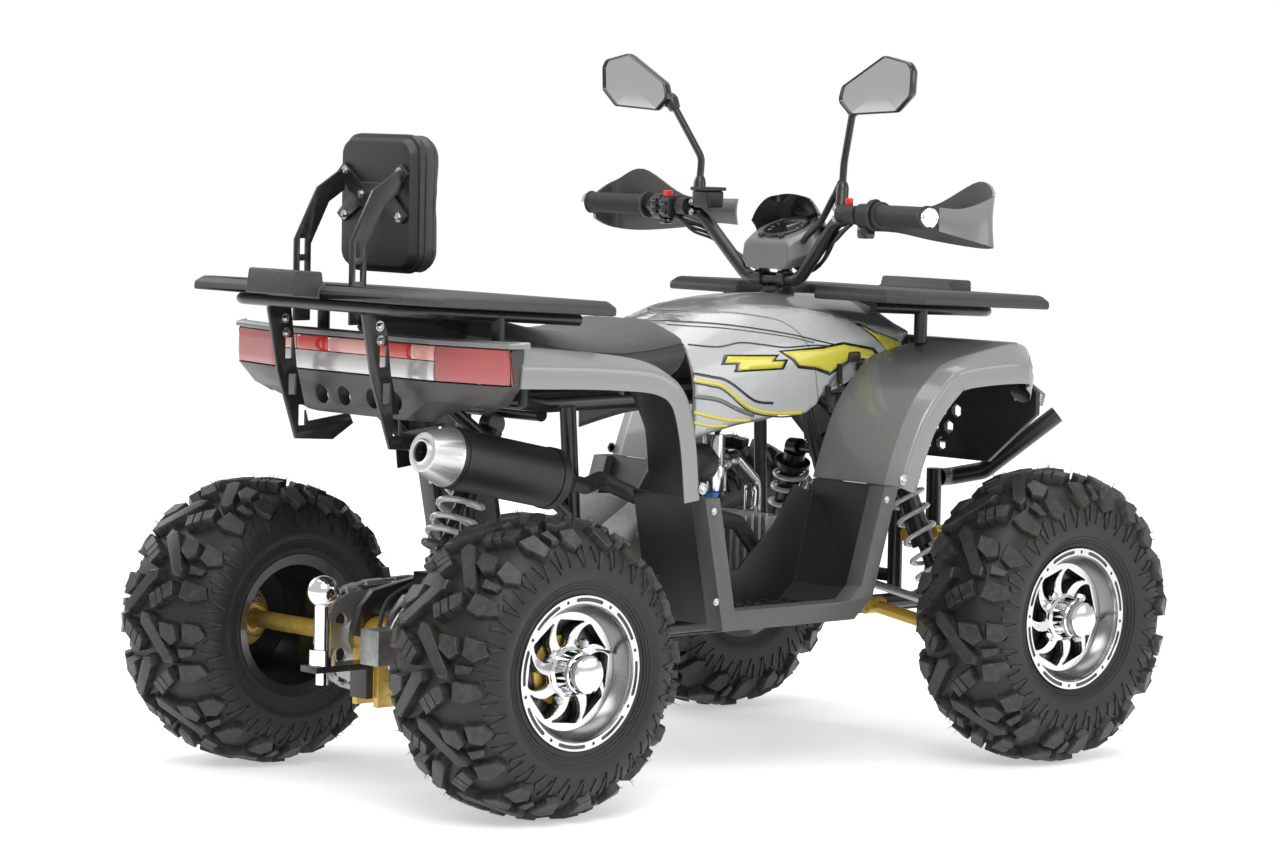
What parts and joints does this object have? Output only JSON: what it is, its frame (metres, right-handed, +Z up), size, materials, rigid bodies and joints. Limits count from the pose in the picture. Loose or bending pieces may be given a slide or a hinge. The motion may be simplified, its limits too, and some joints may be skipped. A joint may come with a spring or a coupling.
{
  "type": "utility quad bike",
  "caption": "Four-wheeled utility quad bike with lugged tyres, straddle seat, backrest, footwells, front and rear carrier racks, hand guards, bumper and tow ball.",
  "frame": {"origin": "on the floor under the middle of the vehicle, midway between front and rear axles", "axes": "+X forward, +Y to the rider's left, +Z up"},
  "size_m": [1.539, 0.968, 1.143],
  "materials": {
    "body": "gloss",
    "dark_grey": "satin",
    "frame_black": "satin",
    "gold": "gloss",
    "spring_grey": "gloss",
    "engine_alloy": "cast",
    "heat_black": "matte",
    "stainless": "brushed",
    "steel": "brushed",
    "chrome": "polished",
    "tyre": "matte",
    "rim": "machined",
    "seat_cover": "grained",
    "grip_rubber": "matte",
    "black_plastic": "satin",
    "red_lens": "gloss",
    "clear_lens": "clear"
  },
  "bodies": {
    "chassis": {"air_filter": "black_plastic", "axle_carrier": "gold", "backrest_bracket": "frame_black", "backrest_pad": "seat_cover", "brake_caliper": "engine_alloy", "carburettor": "engine_alloy", "dampers": "frame_black", "drive_chain": "steel", "engine": "engine_alloy", "footwell_left": "dark_grey", "footwell_right": "dark_grey", "frame_tubes": "frame_black", "front_arms": "gold", "front_bodywork": "body", "front_bumper": "frame_black", "front_grille": "black_plastic", "front_rack": "dark_grey", "front_rack_frame": "frame_black", "header_pipe": "heat_black", "headlamps": "clear_lens", "hitch_ball": "chrome", "rear_fenders": "body", "rear_inner_fenders": "black_plastic", "rear_rack": "dark_grey", "rear_rack_frame": "frame_black", "seat": "seat_cover", "silencer": "heat_black", "silencer_cap": "stainless", "skid_plate": "frame_black", "springs": "spring_grey", "swingarm": "frame_black", "tail_guard": "frame_black", "tail_lamp": "red_lens", "tail_panel": "black_plastic", "tank_cover": "body", "tow_hitch": "frame_black"},
    "steering": {"steering_stem": "frame_black", "handlebar": "frame_black", "grips": "grip_rubber", "controls": "black_plastic", "hand_guards": "black_plastic", "mirrors": "black_plastic", "instrument_pod": "black_plastic"},
    "rear_axle_set": {"rear_axle": "gold", "rear_hubs": "engine_alloy", "rear_rims": "rim", "rear_tyres": "tyre", "rear_sprocket": "steel", "brake_disc": "steel"},
    "knuckle_left": {"knuckle_left": "frame_black"},
    "tie_rod_left": {"tie_rod_left": "frame_black"},
    "front_wheel_left": {"front_tyre_left": "tyre", "front_rim_left": "rim"},
    "knuckle_right": {"knuckle_right": "frame_black"},
    "tie_rod_right": {"tie_rod_right": "frame_black"},
    "front_wheel_right": {"front_tyre_right": "tyre", "front_rim_right": "rim"}
  },
  "joints": [
    {"name": "steering", "type": "hinge", "parent": "chassis", "child": "steering", "pos_m": [0.276, 0, 0.764], "axis": [-0.3518, 0, 0.9361], "range_deg": [-38, 38]},
    {"name": "kingpin_left", "type": "hinge", "parent": "chassis", "child": "knuckle_left", "pos_m": [0.523, 0.3, 0.23943], "axis": [0, 0, 1], "range_deg": [-32, 32]},
    {"name": "front_wheel_left", "type": "hinge", "parent": "knuckle_left", "child": "front_wheel_left", "pos_m": [0.523, 0.39, 0.23943], "axis": [0, 1, 0], "continuous": true},
    {"name": "tie_rod_left", "type": "hinge", "parent": "steering", "child": "tie_rod_left", "pos_m": [0.37888, 0, 0.26292], "axis": [-0.3518, 0, 0.9361], "range_deg": [-38, 38]},
    {"name": "kingpin_right", "type": "hinge", "parent": "chassis", "child": "knuckle_right", "pos_m": [0.523, -0.3, 0.23943], "axis": [0, 0, 1], "range_deg": [-32, 32]},
    {"name": "front_wheel_right", "type": "hinge", "parent": "knuckle_right", "child": "front_wheel_right", "pos_m": [0.523, -0.39, 0.23943], "axis": [0, 1, 0], "continuous": true},
    {"name": "tie_rod_right", "type": "hinge", "parent": "steering", "child": "tie_rod_right", "pos_m": [0.36551, 0, 0.29849], "axis": [-0.3518, 0, 0.9361], "range_deg": [-38, 38]},
    {"name": "rear_axle", "type": "hinge", "parent": "chassis", "child": "rear_axle_set", "pos_m": [-0.523, 0, 0.22654], "axis": [0, 1, 0], "continuous": true}
  ],
  "couplings": [
    {"joint": "kingpin_left", "follows": "steering", "ratio": 0.83333},
    {"joint": "tie_rod_left", "follows": "steering", "ratio": -1},
    {"joint": "kingpin_right", "follows": "steering", "ratio": 0.83333},
    {"joint": "tie_rod_right", "follows": "steering", "ratio": -1}
  ]
}
